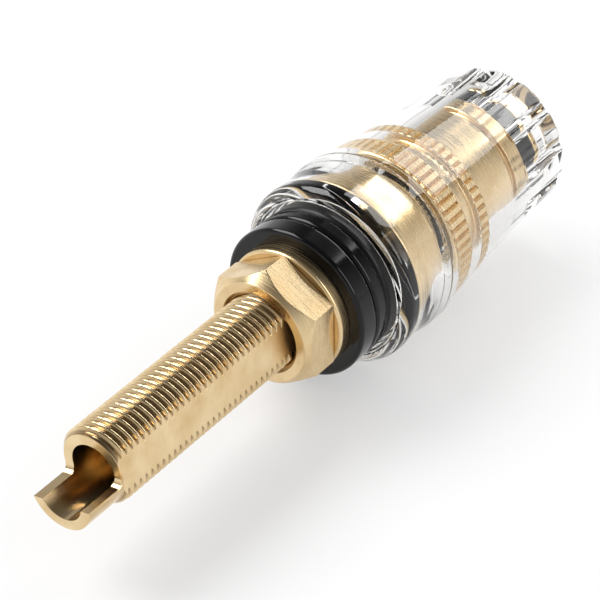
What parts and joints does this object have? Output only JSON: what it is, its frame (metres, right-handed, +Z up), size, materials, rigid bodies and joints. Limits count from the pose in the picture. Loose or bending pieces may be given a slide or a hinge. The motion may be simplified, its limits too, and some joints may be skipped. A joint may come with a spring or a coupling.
{
  "type": "binding post",
  "caption": "Panel binding post: clear fluted screw cap over a knurled clamp nut and plug socket, clear base, insulating rings, washer, hex nut, threaded stud with solder cup.",
  "frame": {"origin": "on the post's axis, in the plane of the panel seat between the two insulating rings", "axes": "+Y along the axis, out of the panel towards the cap; the solder cup points to -Y; +Z up, the cup's open side faces up; +X right seen from the cup"},
  "size_m": [0.02, 0.0701, 0.02],
  "materials": {
    "gold": "polished, gold plated",
    "black_plastic": "glossy",
    "gasket_rubber": "satin",
    "clear_plastic": "clear, polished"
  },
  "bodies": {
    "post": {"terminal_post": "gold", "front_insulator": "black_plastic", "panel_gasket": "gasket_rubber", "clear_base": "clear_plastic"},
    "rear_stack": {"rear_insulator": "black_plastic", "flat_washer": "gold"},
    "nut": {"mounting_nut": "gold"},
    "cap_carriage": {"clamp_ring": "gold"},
    "cap": {"clamp_nut": "gold", "marker_ring": "black_plastic", "retaining_ring": "gold", "clear_cap": "clear_plastic"}
  },
  "joints": [
    {"name": "rear_stack_slide", "type": "slide", "parent": "post", "child": "rear_stack", "axis": [0, -1, 0], "range_m": [0, 0.018]},
    {"name": "nut_spin", "type": "hinge", "parent": "rear_stack", "child": "nut", "pos_m": [0, 0, 0], "axis": [0, -1, 0], "range_deg": [0, 8101]},
    {"name": "cap_slide", "type": "slide", "parent": "post", "child": "cap_carriage", "axis": [0, 1, 0], "range_m": [0, 0.0065]},
    {"name": "cap_spin", "type": "hinge", "parent": "cap_carriage", "child": "cap", "pos_m": [0, 0, 0], "axis": [0, 1, 0], "range_deg": [0, 2341]}
  ],
  "couplings": [
    {"joint": "nut_spin", "follows": "rear_stack_slide", "rad_per_m": 7854},
    {"joint": "cap_spin", "follows": "cap_slide", "rad_per_m": 6283.2}
  ]
}
